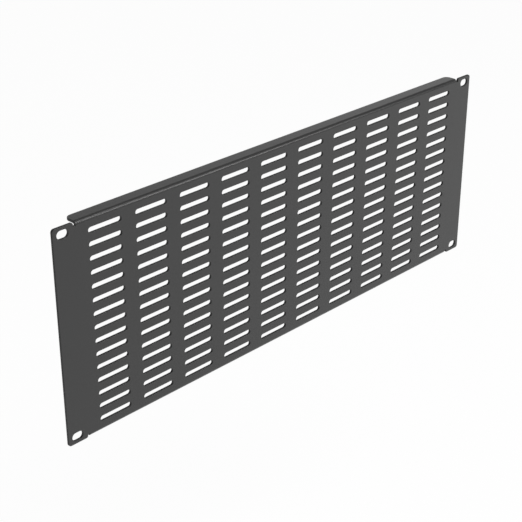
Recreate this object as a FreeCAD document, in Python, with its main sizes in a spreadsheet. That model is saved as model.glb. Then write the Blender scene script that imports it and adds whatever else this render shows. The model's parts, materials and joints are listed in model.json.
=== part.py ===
import FreeCAD, Part
import math
import os

import Sketcher
from FreeCAD import Vector

# Vented blanking panel, four units high, for a 19 inch rack. It is laser cut and folded from one
# sheet of steel: a flat face with an ear at each end, a flange turned back along the top, and a
# shallower one along the bottom. A narrow relief slit parts each end of a flange from the ear beside it.
# X runs along the panel, +Z is up, and the face looks along -Y. The origin is the middle of the four
# rack holes, on the back of the sheet, which seats against the rack's rails.

# Each driving size: its name, its value in millimetres, and what it measures.
SIZES = [
    ("panel_width", 482.6, "over both ears, the 19 inch panel width"),
    ("panel_height", 177.0, "four rack units less the clearance between panels"),
    ("sheet_gauge", 2.0, "thickness of the sheet"),
    ("bend_radius", 1.0, "inside radius of each fold"),
    ("top_flange_depth", 12.7, "from the front of the face to the free edge of the top flange"),
    ("bottom_flange_depth", 9.0, "from the front of the face to the free edge of the bottom flange"),
    ("flange_corner", 5.0, "radius of a flange's free corners"),
    ("ear_width", 18.3, "from the side of the panel to the relief slit"),
    ("ear_corner", 2.5, "radius of an ear's outer corners"),
    ("relief_width", 1.9, "width of the slit between an ear and a flange"),
    ("relief_corner", 1.8, "radius where the slit breaks out of the ear's end"),
    ("rack_hole_inset", 8.75, "from the side of the panel to a rack hole's centre"),
    ("rack_hole_drop", 5.95, "from the panel's top or bottom to a rack hole's centre"),
    ("rack_hole_length", 10.0, "length of an oblong rack hole, end to end"),
    ("rack_hole_height", 6.6, "height of an oblong rack hole"),
    ("vent_length", 30.0, "length of a vent slot, end to end"),
    ("vent_height", 4.2, "height of a vent slot"),
    ("vent_web", 13.4, "steel left between two columns of vents"),
    ("vent_bar", 6.95, "steel left between two rows of vents"),
    ("vent_side_land", 7.0, "least steel between the vents and the end of a flange"),
    ("vent_fold_land", 2.0, "least steel between the vents and a fold"),
]

doc = FreeCAD.newDocument("vented_blanking_panel")

sheet = doc.addObject("Spreadsheet::Sheet", "Size")
for row, (alias, value, meaning) in enumerate(SIZES, start=1):
    sheet.set(f"A{row}", str(value))
    sheet.setAlias(f"A{row}", alias)
    sheet.set(f"B{row}", meaning)
doc.recompute()

# Places that several features share, written in the driving sizes.
HALF_WIDTH = "Size.panel_width / 2"
HALF_HEIGHT = "Size.panel_height / 2"
EAR_INNER = f"({HALF_WIDTH} - Size.ear_width)"
FLANGE_END = f"({EAR_INNER} - Size.relief_width)"
FOLD_LINE = f"({HALF_HEIGHT} - Size.bend_radius - Size.sheet_gauge)"

# The vents fill the face with as many whole columns and rows as its lands leave room for.
PITCH_ACROSS = "(Size.vent_length + Size.vent_web)"
PITCH_UP = "(Size.vent_height + Size.vent_bar)"
COLUMNS = f"floor((2 * ({FLANGE_END} - Size.vent_side_land) + Size.vent_web) / {PITCH_ACROSS})"
ROWS = f"floor((2 * ({FOLD_LINE} - Size.vent_fold_land) + Size.vent_bar) / {PITCH_UP})"
GRID_ACROSS = f"(({COLUMNS} - 1) * {PITCH_ACROSS})"
GRID_UP = f"(({ROWS} - 1) * {PITCH_UP})"


def measured(expression):
    """The value in millimetres of an expression in the driving sizes."""
    return float(sheet.evalExpression(expression))


def origin_item(body, role):
    """The plane or axis of the body's own origin that has this role."""
    return next(item for item in body.Origin.OriginFeatures if item.Role == role)


def new_sketch(body, name, role):
    """An empty sketch flat on one of the body's origin planes."""
    sketch = body.newObject("Sketcher::SketchObject", name)
    sketch.AttachmentSupport = (origin_item(body, role), "")
    sketch.MapMode = "FlatFace"
    return sketch


def constrain(sketch, kind, *targets):
    """Adds a constraint with no size, such as Horizontal or Tangent."""
    sketch.addConstraint(Sketcher.Constraint(kind, *targets))


def dimension(sketch, kind, *targets, size):
    """Adds a constraint whose size stays bound to an expression."""
    number = sketch.addConstraint(Sketcher.Constraint(kind, *targets, measured(size)))
    sketch.setExpression(f"Constraints[{number}]", size)


def outline(sketch, corners):
    """A closed outline of level and upright edges that starts at the sketch's origin.

    Each corner is a pair of expressions, across and up. Every place that the corners name is
    dimensioned once from the origin, so the outline has no freedom left.
    """
    places = [Vector(measured(across), measured(up), 0) for across, up in corners]
    edges = [
        sketch.addGeometry(Part.LineSegment(start, end))
        for start, end in zip(places, places[1:] + places[:1])
    ]
    for edge, following in zip(edges, edges[1:] + edges[:1]):
        constrain(sketch, "Coincident", edge, 2, following, 1)
    for edge, start, end in zip(edges, corners, corners[1:] + corners[:1]):
        constrain(sketch, "Vertical" if start[0] == end[0] else "Horizontal", edge)
    constrain(sketch, "Coincident", edges[0], 1, -1, 1)
    for axis, kind in enumerate(("DistanceX", "DistanceY")):
        held = {"0"}
        for edge, corner in zip(edges, corners):
            if corner[axis] not in held:
                dimension(sketch, kind, -1, 1, edge, 1, size=corner[axis])
                held.add(corner[axis])


def fold_section(sketch, depth):
    """The section of a fold and its flange of this depth: two arcs round one centre and a level leg."""
    centre = Vector(measured("Size.bend_radius"), measured(FOLD_LINE), 0)
    inner = measured("Size.bend_radius")
    outer = inner + measured("Size.sheet_gauge")
    free_edge = measured(f"{depth} - Size.sheet_gauge")
    top = centre.y + outer
    underside = centre.y + inner
    quarter = (math.pi / 2, math.pi)
    outside_arc = sketch.addGeometry(Part.ArcOfCircle(Part.Circle(centre, Vector(0, 0, 1), outer), *quarter))
    inside_arc = sketch.addGeometry(Part.ArcOfCircle(Part.Circle(centre, Vector(0, 0, 1), inner), *quarter))
    leg = [
        Vector(centre.x, top, 0),
        Vector(free_edge, top, 0),
        Vector(free_edge, underside, 0),
        Vector(centre.x, underside, 0),
    ]
    top_edge, end_edge, under_edge = [
        sketch.addGeometry(Part.LineSegment(start, end)) for start, end in zip(leg, leg[1:])
    ]
    root = sketch.addGeometry(Part.LineSegment(Vector(0, centre.y, 0), Vector(centre.x - outer, centre.y, 0)))
    constrain(sketch, "Tangent", outside_arc, 1, top_edge, 1)
    constrain(sketch, "Coincident", top_edge, 2, end_edge, 1)
    constrain(sketch, "Coincident", end_edge, 2, under_edge, 1)
    constrain(sketch, "Tangent", under_edge, 2, inside_arc, 1)
    constrain(sketch, "Coincident", inside_arc, 2, root, 1)
    constrain(sketch, "Coincident", root, 2, outside_arc, 2)
    constrain(sketch, "Coincident", outside_arc, 3, inside_arc, 3)
    constrain(sketch, "Horizontal", top_edge)
    constrain(sketch, "Vertical", end_edge)
    constrain(sketch, "Horizontal", under_edge)
    constrain(sketch, "Horizontal", root)
    constrain(sketch, "Horizontal", outside_arc, 3, outside_arc, 2)
    constrain(sketch, "PointOnObject", inside_arc, 2, -2)
    dimension(sketch, "DistanceY", -1, 1, outside_arc, 3, size=FOLD_LINE)
    dimension(sketch, "DistanceX", -1, 1, end_edge, 1, size=f"{depth} - Size.sheet_gauge")
    dimension(sketch, "DistanceX", root, 2, root, 1, size="Size.sheet_gauge")
    dimension(sketch, "Radius", inside_arc, size="Size.bend_radius")


def oblong(sketch, across, up, length, height):
    """A level slot with round ends, centred on a place given by two expressions."""
    run = f"({length} - {height})"
    radius = measured(height) / 2
    middle_up = measured(up)
    first = Vector(measured(across) - measured(run) / 2, middle_up, 0)
    last = Vector(measured(across) + measured(run) / 2, middle_up, 0)
    rise = Vector(0, radius, 0)
    normal = Vector(0, 0, 1)
    near_end = sketch.addGeometry(
        Part.ArcOfCircle(Part.Circle(first, normal, radius), math.pi / 2, 3 * math.pi / 2)
    )
    far_end = sketch.addGeometry(
        Part.ArcOfCircle(Part.Circle(last, normal, radius), -math.pi / 2, math.pi / 2)
    )
    bottom = sketch.addGeometry(Part.LineSegment(first - rise, last - rise))
    top = sketch.addGeometry(Part.LineSegment(last + rise, first + rise))
    constrain(sketch, "Tangent", near_end, 2, bottom, 1)
    constrain(sketch, "Tangent", bottom, 2, far_end, 1)
    constrain(sketch, "Tangent", far_end, 2, top, 1)
    constrain(sketch, "Tangent", top, 2, near_end, 1)
    constrain(sketch, "Horizontal", bottom)
    constrain(sketch, "Horizontal", top)
    dimension(sketch, "Radius", near_end, size=f"{height} / 2")
    dimension(sketch, "DistanceX", near_end, 3, far_end, 3, size=run)
    dimension(sketch, "DistanceX", -1, 1, near_end, 3, size=f"{across} - {run} / 2")
    dimension(sketch, "DistanceY", -1, 1, near_end, 3, size=up)


def add_pad(body, name, sketch, length, side):
    """Steel added from a sketch, along its normal or, where the side is Symmetric, half each way."""
    pad = body.newObject("PartDesign::Pad", name)
    pad.Profile = sketch
    pad.SideType = side
    pad.setExpression("Length", length)
    doc.recompute()
    return pad


def cut_through(body, name, sketch):
    """A cut through the sheet on both sides of the sketch, which has to remove steel."""
    before = body.Shape.Volume
    pocket = body.newObject("PartDesign::Pocket", name)
    pocket.Profile = sketch
    pocket.Type = "ThroughAll"
    pocket.SideType = "Symmetric"
    doc.recompute()
    if not pocket.Shape.Volume < before:
        raise RuntimeError(f"{name} removes nothing")
    return pocket


def round_corner(body, name, radius, across, depth, up):
    """Rounds the edge of the body whose middle lies at this place."""
    middle = Vector(measured(across), measured(depth), measured(up))
    base = body.Tip
    edges = base.Shape.Edges
    nearest = min(range(len(edges)), key=lambda number: edges[number].CenterOfMass.distanceToPoint(middle))
    fillet = body.newObject("PartDesign::Fillet", name)
    fillet.Base = (base, [f"Edge{nearest + 1}"])
    fillet.setExpression("Radius", radius)
    doc.recompute()
    return fillet


def mirror_whole(body, name, role):
    """Doubles the body across one of its origin planes."""
    mirrored = body.newObject("PartDesign::Mirrored", name)
    mirrored.TransformMode = "Whole shape"
    mirrored.MirrorPlane = (origin_item(body, role), [""])
    body.Tip = mirrored
    doc.recompute()
    return mirrored


body = doc.addObject("PartDesign::Body", "VentedPanel")
body.Label = "vented_panel"

# One quarter of the panel comes first: its share of the flat face, with the ear standing past the fold.
quarter_face = new_sketch(body, "QuarterFace", "XZ_Plane")
outline(
    quarter_face,
    [
        ("0", "0"),
        (HALF_WIDTH, "0"),
        (HALF_WIDTH, HALF_HEIGHT),
        (EAR_INNER, HALF_HEIGHT),
        (EAR_INNER, FOLD_LINE),
        ("0", FOLD_LINE),
    ],
)
add_pad(body, "FacePad", quarter_face, "Size.sheet_gauge", "One side")

MID_SHEET = "-Size.sheet_gauge / 2"
round_corner(body, "EarCorner", "Size.ear_corner", HALF_WIDTH, MID_SHEET, HALF_HEIGHT)
round_corner(body, "ReliefCorner", "Size.relief_corner", EAR_INNER, MID_SHEET, HALF_HEIGHT)

rack_hole = new_sketch(body, "RackHole", "XZ_Plane")
oblong(
    rack_hole,
    f"{HALF_WIDTH} - Size.rack_hole_inset",
    f"{HALF_HEIGHT} - Size.rack_hole_drop",
    "Size.rack_hole_length",
    "Size.rack_hole_height",
)
cut_through(body, "RackHoleCut", rack_hole)

# The quarter is mirrored end for end and top to bottom.
mirror_whole(body, "BothEnds", "YZ_Plane")
mirror_whole(body, "TopAndBottom", "XY_Plane")

# A flange is the sheet carried on round its fold, and it stops short of each ear by the relief slit.
# The bottom flange's section is the same drawing turned over, with a depth of its own.
MID_FLANGE = f"({HALF_HEIGHT} - Size.sheet_gauge / 2)"
for place, turn, side in (("Top", 0, ""), ("Bottom", 180, "-")):
    depth = f"Size.{place.lower()}_flange_depth"
    section = new_sketch(body, f"{place}Section", "YZ_Plane")
    section.AttachmentOffset = FreeCAD.Placement(Vector(), FreeCAD.Rotation(Vector(1, 0, 0), turn))
    fold_section(section, depth)
    add_pad(body, f"{place}Flange", section, f"2 * {FLANGE_END}", "Symmetric")
    for end, across in (("Left", f"-{FLANGE_END}"), ("Right", FLANGE_END)):
        free_edge = f"{depth} - Size.sheet_gauge"
        name = f"{place}{end}Corner"
        round_corner(body, name, "Size.flange_corner", across, free_edge, f"{side}{MID_FLANGE}")

# The lower left vent is cut, then repeated along and up the face about its middle.
first_vent = new_sketch(body, "FirstVent", "XZ_Plane")
oblong(
    first_vent,
    f"-{GRID_ACROSS} / 2",
    f"-{GRID_UP} / 2",
    "Size.vent_length",
    "Size.vent_height",
)
first_vent_cut = cut_through(body, "FirstVentCut", first_vent)

vent_grid = body.newObject("PartDesign::LinearPattern", "VentGrid")
vent_grid.Originals = [first_vent_cut]
vent_grid.Direction = (origin_item(body, "X_Axis"), [""])
vent_grid.setExpression("Length", GRID_ACROSS)
vent_grid.setExpression("Occurrences", COLUMNS)
vent_grid.Direction2 = (origin_item(body, "Z_Axis"), [""])
vent_grid.setExpression("Length2", GRID_UP)
vent_grid.setExpression("Occurrences2", ROWS)
body.Tip = vent_grid
doc.recompute()

# Nothing is written unless every object came out whole, as one sound solid.
for item in doc.Objects:
    if "Invalid" in item.State or "Error" in item.State:
        raise RuntimeError(f"{item.Name} failed: {item.State}")
if body.Shape.isNull() or not body.Shape.isValid() or len(body.Shape.Solids) != 1:
    raise RuntimeError("the panel is not one sound solid")

os.makedirs("parts", exist_ok=True)
body.Shape.exportStep(f"parts/{body.Label}.step")
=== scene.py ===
import json
import math

import bpy
import numpy as np
from mathutils.geometry import delaunay_2d_cdt
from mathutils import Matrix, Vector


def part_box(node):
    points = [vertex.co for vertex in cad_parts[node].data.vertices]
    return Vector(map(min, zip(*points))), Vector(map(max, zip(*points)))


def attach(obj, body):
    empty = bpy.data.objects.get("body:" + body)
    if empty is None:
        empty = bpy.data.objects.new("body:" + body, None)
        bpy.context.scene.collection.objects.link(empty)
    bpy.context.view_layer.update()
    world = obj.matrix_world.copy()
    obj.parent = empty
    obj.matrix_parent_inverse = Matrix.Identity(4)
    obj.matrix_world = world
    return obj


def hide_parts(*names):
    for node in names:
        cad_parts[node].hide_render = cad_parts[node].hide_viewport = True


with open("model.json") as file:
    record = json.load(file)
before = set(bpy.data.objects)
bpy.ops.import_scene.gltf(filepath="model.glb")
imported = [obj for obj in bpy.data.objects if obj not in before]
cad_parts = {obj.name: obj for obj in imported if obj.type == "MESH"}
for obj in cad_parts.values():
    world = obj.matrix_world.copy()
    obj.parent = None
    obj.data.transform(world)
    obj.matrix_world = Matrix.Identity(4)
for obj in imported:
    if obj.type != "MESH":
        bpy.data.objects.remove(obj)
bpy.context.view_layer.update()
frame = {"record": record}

# ---------------------------------------------------------------------------------------------
# The panel is one sheet of mild steel. A laser cuts the blank flat, with its 150 vents, its four
# rack holes and the slits beside the ears, and then a press brake folds the top and the bottom
# back as flanges. The powder coat that goes on last rounds every cut edge a little.

MM = 0.001
_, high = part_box("vented_panel")
HALF_WIDTH, HALF_HEIGHT = high.x, high.z
GAUGE = 0.0020
BEND_INSIDE = 0.0010
BEND_OUTSIDE = BEND_INSIDE + GAUGE
FOLD_LINE = HALF_HEIGHT - BEND_OUTSIDE
BOTTOM_FLANGE, EAR_WIDTH, SLIT_WIDTH = 0.0090, 0.0183, 0.0019
TOP_FREE_EDGE, BOTTOM_FREE_EDGE = high.y, BOTTOM_FLANGE - GAUGE
EAR_INNER = HALF_WIDTH - EAR_WIDTH
FLANGE_END = EAR_INNER - SLIT_WIDTH
EAR_CORNER, RELIEF_CORNER, FLANGE_CORNER = 0.0025, 0.0018, 0.0050
RACK_HOLE = (0.0100, 0.0066)
VENT = (0.0300, 0.0042)
VENT_COLUMNS, VENT_ROWS = 10, 15
VENT_PITCH = (0.0434, 0.01115)
FRONT_ROUND, BACK_ROUND = 0.00040, 0.00020
FOLD_RUN = (BEND_OUTSIDE - GAUGE / 2) * math.pi / 2
FOLD_STEPS, EAR_STEPS, RELIEF_STEPS, FLANGE_STEPS = 10, 8, 6, 12
RACK_HOLE_STEPS, VENT_STEPS = 14, 12


def folded(along, up, depth):
    """Where points of the flat blank come on the folded sheet, with their outward and upward directions.

    Below the fold line a point stays at its own height. Past it, the length left over is turned
    into an angle round the bend's centre, up to a quarter turn, and what remains after that runs
    back along the flange. Depth is measured from the front skin, so it shortens the bend's radius.
    The ears, which lie past the slits, are never folded.
    """
    side = np.where(up < 0, -1.0, 1.0)
    slit_middle = (EAR_INNER + FLANGE_END) / 2
    past = np.where(np.abs(along) < slit_middle, np.maximum(np.abs(up) - FOLD_LINE, 0.0), 0.0)
    angle = np.minimum(past / FOLD_RUN, 1.0) * math.pi / 2
    along_flange = np.maximum(past - FOLD_RUN, 0.0)
    radius = BEND_OUTSIDE - depth
    place = np.stack(
        [
            along,
            BEND_INSIDE - radius * np.cos(angle) + along_flange,
            side * (np.abs(up) - past + radius * np.sin(angle)),
        ],
        -1,
    )
    normal = np.stack([0 * along, -np.cos(angle), side * np.sin(angle)], -1)
    upward = np.stack([0 * along, side * np.sin(angle), np.cos(angle)], -1)
    return place, normal, upward


def slot_loop(size, steps):
    """A level slot as a closed loop, clockwise: a half circle at its right end, and then the same one
    turned half round at its left.
    """
    length, height = size
    radius = height / 2
    turn = np.linspace(math.pi / 2, -math.pi / 2, steps + 1)
    right_end = np.stack([length / 2 - radius + radius * np.cos(turn), radius * np.sin(turn)], -1)
    return np.concatenate([right_end, -right_end])


def corner(before, point, after, radius, steps):
    """A square corner rounded: the point moved back along one edge by the radius times one less the
    sine, and on along the other by the radius times one less the cosine.
    """
    point, before, after = (np.array(p, float) for p in (point, before, after))
    back = (before - point) / np.linalg.norm(before - point)
    on = (after - point) / np.linalg.norm(after - point)
    turn = np.linspace(0, math.pi / 2, steps + 1)[:, None]
    return point + radius * ((1 - np.sin(turn)) * back + (1 - np.cos(turn)) * on)


fold_rows = FOLD_LINE + FOLD_RUN * np.linspace(0, 1, FOLD_STEPS + 1)


def blank_quarter(free_edge):
    """A quarter of the blank's outline: up the ear, down into the slit, and out along the flange's end
    to its free edge, which lies past the fold line by the fold's run and what is left of the flange.
    """
    ear_tip = (HALF_WIDTH, HALF_HEIGHT)
    slit_mouth, slit_foot = (EAR_INNER, HALF_HEIGHT), (EAR_INNER, FOLD_LINE)
    blank_edge = FOLD_LINE + FOLD_RUN + free_edge - BEND_INSIDE
    return np.concatenate(
        [
            corner((HALF_WIDTH, 0), ear_tip, slit_mouth, EAR_CORNER, EAR_STEPS),
            corner(ear_tip, slit_mouth, slit_foot, RELIEF_CORNER, RELIEF_STEPS),
            [slit_foot],
            np.stack([np.full_like(fold_rows, FLANGE_END), fold_rows], -1),
            corner((FLANGE_END, 0), (FLANGE_END, blank_edge), (0, blank_edge), FLANGE_CORNER, FLANGE_STEPS),
        ]
    )


quarter, lower = blank_quarter(TOP_FREE_EDGE), blank_quarter(BOTTOM_FREE_EDGE)
outline = np.concatenate([quarter, quarter[::-1] * (-1, 1), lower * (-1, -1), lower[::-1] * (1, -1)])

rack_bolts = next(m for m in frame["record"]["mounts"] if m["name"] == "rack_holes")["dims"]
rack_x, rack_z = rack_bolts["spacing_x_mm"] * MM / 2, rack_bolts["spacing_y_mm"] * MM / 2
rack_centres = np.array([(x, z) for x in (-rack_x, rack_x) for z in (-rack_z, rack_z)])
columns = (np.arange(VENT_COLUMNS) - (VENT_COLUMNS - 1) / 2) * VENT_PITCH[0]
rows = (np.arange(VENT_ROWS) - (VENT_ROWS - 1) / 2) * VENT_PITCH[1]
vent_centres = np.stack(np.meshgrid(columns, rows), -1).reshape(-1, 2)

# All loops are joined into one array of points, and each point knows the next and the last of its loop.
loops = [outline]
loops += list(rack_centres[:, None] + slot_loop(RACK_HOLE, RACK_HOLE_STEPS))
loops += list(vent_centres[:, None] + slot_loop(VENT, VENT_STEPS))
counts = np.array([len(loop) for loop in loops])
contour = np.concatenate(loops)
points = len(contour)
loop_of = np.repeat(np.arange(len(loops)), counts)
first_of = np.repeat(np.cumsum(counts) - counts, counts)
place_in = np.arange(points) - first_of
following = first_of + (place_in + 1) % counts[loop_of]
previous = first_of + (place_in - 1) % counts[loop_of]


def leftward(step):
    """The unit vector a quarter turn to the left of each step, which points into the steel."""
    turned = np.stack([-step[:, 1], step[:, 0]], -1)
    return turned / np.linalg.norm(turned, axis=1, keepdims=True)


# The miter is the sum of the two edges' leftward vectors over one plus their dot product, so that a
# loop moved along it stays parallel to itself.
into_before, into_after = leftward(contour - contour[previous]), leftward(contour[following] - contour)
dot = (into_before * into_after).sum(1, keepdims=True)
miter = (into_before + into_after) / (1 + dot)

# The rim's profile: a quarter round from the front skin, the plain cut, and a tighter quarter round
# to the back. At angle t the loop is moved into the steel by the rounding times one less sine t.
FRONT_TURNS, BACK_TURNS = (0, 30, 60, 90), (90, 135, 180)
turn = np.radians(FRONT_TURNS + BACK_TURNS)
at_front = np.arange(len(turn)) < len(FRONT_TURNS)
move_in = np.where(at_front, FRONT_ROUND, BACK_ROUND) * (1 - np.sin(turn))
depth = np.where(at_front, FRONT_ROUND * (1 - np.cos(turn)), GAUGE - BACK_ROUND * (1 + np.cos(turn)))
rim_flat = (contour + move_in[:, None, None] * miter).reshape(-1, 2)
rim_place, skin_normal, upward = folded(rim_flat[:, 0], rim_flat[:, 1], np.repeat(depth, points))
outward = -np.tile(miter / np.linalg.norm(miter, axis=1, keepdims=True), (len(turn), 1))
rim_outward = outward[:, :1] * (1, 0, 0) + outward[:, 1:] * upward
cosine, sine = np.repeat(np.cos(turn), points)[:, None], np.repeat(np.sin(turn), points)[:, None]
rim_normal = cosine * skin_normal + sine * rim_outward

# Each fold row crosses the panel between two feet, its points on the flange's two ends. The rounding
# moves the slit's foot off the fold line, so the first row goes through two added points on that line,
# three roundings in from the flange's ends.
right_feet = len(quarter) - (FLANGE_STEPS + 1) - len(fold_rows) + np.arange(len(fold_rows))
left_feet = 2 * len(quarter) - 1 - right_feet
lower_left_feet = 2 * len(quarter) + right_feet
lower_right_feet = 4 * len(quarter) - 1 - right_feet
beside_slit = FLANGE_END - 3 * FRONT_ROUND
added_flat = (beside_slit, FOLD_LINE) * np.array([(1, 1), (-1, 1), (-1, -1), (1, -1)])
added = points + np.arange(len(added_flat))
across = np.concatenate(
    [
        np.stack([right_feet[1:], left_feet[1:]], -1),
        np.stack([lower_left_feet[1:], lower_right_feet[1:]], -1),
        [(right_feet[0], added[0]), (added[0], added[1]), (added[1], left_feet[0])],
        [(lower_left_feet[0], added[2]), (added[2], added[3]), (added[3], lower_right_feet[0])],
    ]
)

# The blank inside the moved-in loops is cut into triangles along the loops and the rows, in
# millimetres. The triangles with all their points on one hole are that hole, and are dropped.
skin_flat = np.concatenate([rim_flat[:points], added_flat])
around = np.stack([np.arange(points), following], -1)
INSIDE_ONLY, TOLERANCE_MM = 1, 1e-6
_, _, triangles, origins, _, _ = delaunay_2d_cdt(
    (skin_flat / MM).tolist(), np.concatenate([around, across]).tolist(), [], INSIDE_ONLY, TOLERANCE_MM
)
triangles = np.array(origins)[:, 0][np.array(triangles)]
hole_of = np.concatenate([loop_of, np.zeros(len(added), int)])[triangles]
in_hole = (hole_of[:, 0] > 0) & (hole_of == hole_of[:, :1]).all(1)
triangles = triangles[~in_hole]

# The same triangles make the front skin on the rim's first loops and, turned over, the back skin on
# its last, and strips of four-sided faces join each set of loops to the next.
rim_points = len(turn) * points
front_added, front_normal, _ = folded(*added_flat.T, np.zeros(len(added)))
back_added, back_normal, _ = folded(*added_flat.T, np.full(len(added), GAUGE))
vertices = np.concatenate([rim_place, front_added, back_added])
normals = np.concatenate([rim_normal, front_normal, -back_normal])
on_rim = triangles < points
front = np.where(on_rim, triangles, triangles - points + rim_points)
back = np.where(on_rim, triangles - points + rim_points, triangles - points + rim_points + len(added))
strip = np.arange(len(turn) - 1)[:, None] * points
here, onward = np.arange(points) + strip, following + strip
rims = np.stack([here, here + points, onward + points, onward], -1).reshape(-1, 4)

panel_mesh = bpy.data.meshes.new("folded_sheet")
panel_mesh.from_pydata(vertices.tolist(), [], front.tolist() + back[:, ::-1].tolist() + rims.tolist())
panel_mesh.shade_smooth()
panel_mesh.normals_split_custom_set_from_vertices(normals.tolist())
# How much of a cut edge each point is: the square of the sine, which fades out over each rounding.
cut_edge = np.zeros(len(vertices), np.float32)
cut_edge[:rim_points] = np.repeat(np.sin(turn) ** 2, points)
panel_mesh.attributes.new("cut_edge", "FLOAT", "POINT").data.foreach_set("value", cut_edge)
panel = bpy.data.objects.new("folded_sheet", panel_mesh)
bpy.context.scene.collection.objects.link(panel)


def linear(colour):
    """An sRGB hex colour as linear light: each share over 12.92 near black, and otherwise the share and
    0.055, over 1.055, to the power 2.4.
    """
    shares = [int(colour[i : i + 2], 16) / 255 for i in (1, 3, 5)]
    return (*[s / 12.92 if s <= 0.04045 else ((s + 0.055) / 1.055) ** 2.4 for s in shares], 1.0)


def add_node(tree, kind, settings, inputs):
    """Adds a node with its settings, and gives each named input a value or links it to a socket."""
    made = tree.nodes.new(kind)
    for name, value in settings.items():
        setattr(made, name, value)
    for name, value in inputs.items():
        if isinstance(value, bpy.types.NodeSocket):
            tree.links.new(value, made.inputs[name])
        else:
            made.inputs[name].default_value = value
    return made


# Polyester powder, sprayed on dry and baked at 200 degrees. It flows out into a dark, even, satin
# film. Up close the eye finds orange peel, a soft waviness a couple of millimetres across, and a
# finer grain on it, drawn coarser than the real one so that it shows. At the cut edges the film pulls
# thin over the bare cut, and comes out with little peel and duller. Their colour is also painted
# near black, as painted shade for the shade that the vents' walls lie in.
COAT_DARK, COAT_LIGHT, PAINTED_CUT_SHADE = "#2a2a2a", "#2d2d2d", "#0e0e0e"
PEEL_MM, GRAIN_MM, DRIFT_MM = 2.2, 0.5, 70
PEEL_HEIGHT, GRAIN_SHARE, PEEL_LEFT_ON_CUT = 0.03 * MM, 0.25, 0.3
SATIN, DULLER_SATIN, CUT_DULLING, POLYESTER_IOR = 0.28, 0.33, 0.3, 1.5
powder_coat = bpy.data.materials.new("satin_black_polyester_powder_coat")
powder_coat.use_nodes = True
tree = powder_coat.node_tree
tree.nodes.clear()
where = add_node(tree, "ShaderNodeTexCoord", {}, {}).outputs["Object"]
peel = add_node(tree, "ShaderNodeTexNoise", {}, {"Vector": where, "Scale": 1000 / PEEL_MM, "Detail": 2.0})
grain = add_node(tree, "ShaderNodeTexNoise", {}, {"Vector": where, "Scale": 1000 / GRAIN_MM, "Detail": 1.0})
drift = add_node(tree, "ShaderNodeTexNoise", {}, {"Vector": where, "Scale": 1000 / DRIFT_MM, "Detail": 2.0})
edge = add_node(tree, "ShaderNodeAttribute", {"attribute_name": "cut_edge"}, {})
shade = add_node(
    tree,
    "ShaderNodeMix",
    {"data_type": "RGBA"},
    {"Factor": drift.outputs["Fac"], "A": linear(COAT_DARK), "B": linear(COAT_LIGHT)},
)
# The cut edges' colour goes towards near black. This is painted shade for the shade in the vents' walls,
# not a colour of the coat.
painted_cut_shade_mix = add_node(
    tree,
    "ShaderNodeMix",
    {"data_type": "RGBA"},
    {"Factor": edge.outputs["Fac"], "A": shade.outputs["Result"], "B": linear(PAINTED_CUT_SHADE)},
)
height = add_node(
    tree,
    "ShaderNodeMath",
    {"operation": "MULTIPLY_ADD"},
    {0: grain.outputs["Fac"], 1: GRAIN_SHARE, 2: peel.outputs["Fac"]},
)
film = add_node(
    tree,
    "ShaderNodeMapRange",
    {},
    {"Value": edge.outputs["Fac"], "To Min": 1.0, "To Max": PEEL_LEFT_ON_CUT},
)
bump = add_node(
    tree,
    "ShaderNodeBump",
    {},
    {"Strength": film.outputs["Result"], "Distance": PEEL_HEIGHT, "Height": height.outputs["Value"]},
)
satin = add_node(
    tree,
    "ShaderNodeMapRange",
    {},
    {"Value": drift.outputs["Fac"], "To Min": SATIN, "To Max": DULLER_SATIN},
)
dull = add_node(
    tree,
    "ShaderNodeMath",
    {"operation": "MULTIPLY_ADD"},
    {0: edge.outputs["Fac"], 1: CUT_DULLING, 2: satin.outputs["Result"]},
)
surface = add_node(
    tree,
    "ShaderNodeBsdfPrincipled",
    {},
    {
        "Base Color": painted_cut_shade_mix.outputs["Result"],
        "Roughness": dull.outputs["Value"],
        "Normal": bump.outputs["Normal"],
        "IOR": POLYESTER_IOR,
    },
)
add_node(tree, "ShaderNodeOutputMaterial", {}, {"Surface": surface.outputs["BSDF"]})
panel_mesh.materials.append(powder_coat)

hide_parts("vented_panel")
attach(panel, "root")

# ---------------------------------------------------------------------------------------------
# The floor is a wide white studio sweep, well below the panel, which its rack holes hold up. It is
# matt paper that runs out of sight all round. Seen, mirrored or through anything clear it shows plain
# white, apart from a small share of its own shading, which keeps the panel's shadow.

FLOOR_DROP, FLOOR_REACH = 0.30, 20.0
WHITE_SHARE, PAPER, WHITE = 0.96, "#f4f4f4", "#ffffff"
floor_corners = FLOOR_REACH * np.array([(-1, -1), (1, -1), (1, 1), (-1, 1)])
floor_points = np.column_stack([floor_corners, np.full(4, -HALF_HEIGHT - FLOOR_DROP)])
floor_mesh = bpy.data.meshes.new("studio_floor")
floor_mesh.from_pydata(floor_points.tolist(), [], [(0, 1, 2, 3)])
floor = bpy.data.objects.new("studio_floor", floor_mesh)
bpy.context.scene.collection.objects.link(floor)
paper = bpy.data.materials.new("matt_white_paper")
paper.use_nodes = True
tree = paper.node_tree
tree.nodes.clear()
ray = add_node(tree, "ShaderNodeLightPath", {}, {})
reflected = add_node(
    tree,
    "ShaderNodeMath",
    {"operation": "MAXIMUM"},
    {0: ray.outputs["Is Glossy Ray"], 1: ray.outputs["Is Transmission Ray"]},
)
seen = add_node(
    tree,
    "ShaderNodeMath",
    {"operation": "MAXIMUM"},
    {0: ray.outputs["Is Camera Ray"], 1: reflected.outputs["Value"]},
)
shown = add_node(
    tree,
    "ShaderNodeMath",
    {"operation": "MULTIPLY"},
    {0: seen.outputs["Value"], 1: WHITE_SHARE},
)
matt = add_node(tree, "ShaderNodeBsdfDiffuse", {}, {"Color": linear(PAPER)})
white = add_node(tree, "ShaderNodeEmission", {}, {"Color": linear(WHITE), "Strength": 1.0})
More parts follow.
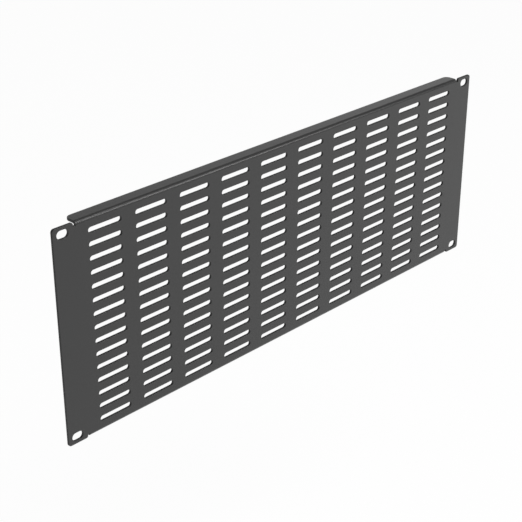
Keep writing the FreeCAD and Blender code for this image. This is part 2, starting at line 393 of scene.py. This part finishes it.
both = add_node(
    tree,
    "ShaderNodeMixShader",
    {},
    {"Fac": shown.outputs["Value"], 1: matt.outputs["BSDF"], 2: white.outputs["Emission"]},
)
add_node(tree, "ShaderNodeOutputMaterial", {}, {"Surface": both.outputs["Shader"]})
floor_mesh.materials.append(paper)

# ---------------------------------------------------------------------------------------------
# The light is one soft box up and to the right in front of the panel, and a broad one high above the
# front. A white backdrop hangs low behind the panel, lights its back, and is what gloss or anything
# clear shows there. The rest of the room is dim, so the gloss is pale on the flange and dark on the fold.

ROOM_LIGHT, BACKDROP_LIGHT = 0.20, 0.90
BACKDROP_SIDES, BACKDROP_TOP = (0.1, 0.5), (0.16, 0.54)
room = bpy.data.worlds.new("studio_room")
room.use_nodes = True
tree = room.node_tree
tree.nodes.clear()
toward = add_node(tree, "ShaderNodeTexCoord", {}, {}).outputs["Generated"]
toward = add_node(tree, "ShaderNodeSeparateXYZ", {}, {"Vector": toward})
behind = add_node(
    tree,
    "ShaderNodeMapRange",
    {"interpolation_type": "SMOOTHSTEP"},
    {"Value": toward.outputs["Y"], "From Min": BACKDROP_SIDES[0], "From Max": BACKDROP_SIDES[1]},
)
above = add_node(
    tree,
    "ShaderNodeMapRange",
    {"interpolation_type": "SMOOTHSTEP"},
    {"Value": toward.outputs["Z"], "From Min": BACKDROP_TOP[0], "From Max": BACKDROP_TOP[1]},
)
below = add_node(tree, "ShaderNodeMath", {"operation": "SUBTRACT"}, {0: 1.0, 1: above.outputs["Result"]})
backdrop = add_node(
    tree,
    "ShaderNodeMath",
    {"operation": "MULTIPLY"},
    {0: behind.outputs["Result"], 1: below.outputs["Value"]},
)
ray = add_node(tree, "ShaderNodeLightPath", {}, {})
reflected = add_node(
    tree,
    "ShaderNodeMath",
    {"operation": "MAXIMUM"},
    {0: ray.outputs["Is Glossy Ray"], 1: ray.outputs["Is Transmission Ray"]},
)
mirrored_backdrop = add_node(
    tree,
    "ShaderNodeMath",
    {"operation": "MULTIPLY"},
    {0: reflected.outputs["Value"], 1: backdrop.outputs["Value"]},
)
white_share = add_node(
    tree,
    "ShaderNodeMath",
    {"operation": "MAXIMUM"},
    {0: ray.outputs["Is Camera Ray"], 1: mirrored_backdrop.outputs["Value"]},
)
lit = add_node(
    tree,
    "ShaderNodeMapRange",
    {},
    {"Value": backdrop.outputs["Value"], "To Min": ROOM_LIGHT, "To Max": BACKDROP_LIGHT},
)
strength = add_node(
    tree,
    "ShaderNodeMath",
    {"operation": "MAXIMUM"},
    {0: lit.outputs["Result"], 1: white_share.outputs["Value"]},
)
glow = add_node(
    tree,
    "ShaderNodeBackground",
    {},
    {"Color": linear(WHITE), "Strength": strength.outputs["Value"]},
)
add_node(tree, "ShaderNodeOutputWorld", {}, {"Surface": glow.outputs["Background"]})
bpy.context.scene.world = room


def soft_box(name, place, size, power):
    """A square area lamp that faces the panel's middle: its back axis runs from there to its place."""
    lamp = bpy.data.lights.new(name, "AREA")
    lamp.shape, lamp.size, lamp.energy = "SQUARE", size, power
    holder = bpy.data.objects.new(name, lamp)
    x, y, z = place
    holder.rotation_euler = (math.atan2(math.hypot(x, y), z), 0, math.atan2(x, -y))
    holder.location = place
    bpy.context.scene.collection.objects.link(holder)


soft_box("key_box", place=(1.15, -1.33, 0.9), size=0.58, power=8)
soft_box("fill_box", place=(0.3, -1.2, 1.9), size=1.2, power=44)

# ---------------------------------------------------------------------------------------------
# The camera stands about a metre from the panel, in front of its left end and above it, so that the
# face, the top flange and the bright fold between them all show.

LENS_MM, SENSOR_MM = 86.1, 36
CAMERA_PLACE = (-0.6950, -0.6399, 0.4429)
LOOKING_DOWN, TURNED_RIGHT = 26.12, 45.88
view = bpy.data.cameras.new("product_view")
view.lens = LENS_MM
view.sensor_width = SENSOR_MM
camera = bpy.data.objects.new("product_view", view)
camera.location = CAMERA_PLACE
camera.rotation_euler = (math.radians(90 - LOOKING_DOWN), 0, math.radians(-TURNED_RIGHT))
bpy.context.scene.collection.objects.link(camera)
bpy.context.scene.camera = camera

bpy.context.scene.view_settings.view_transform = "Standard"
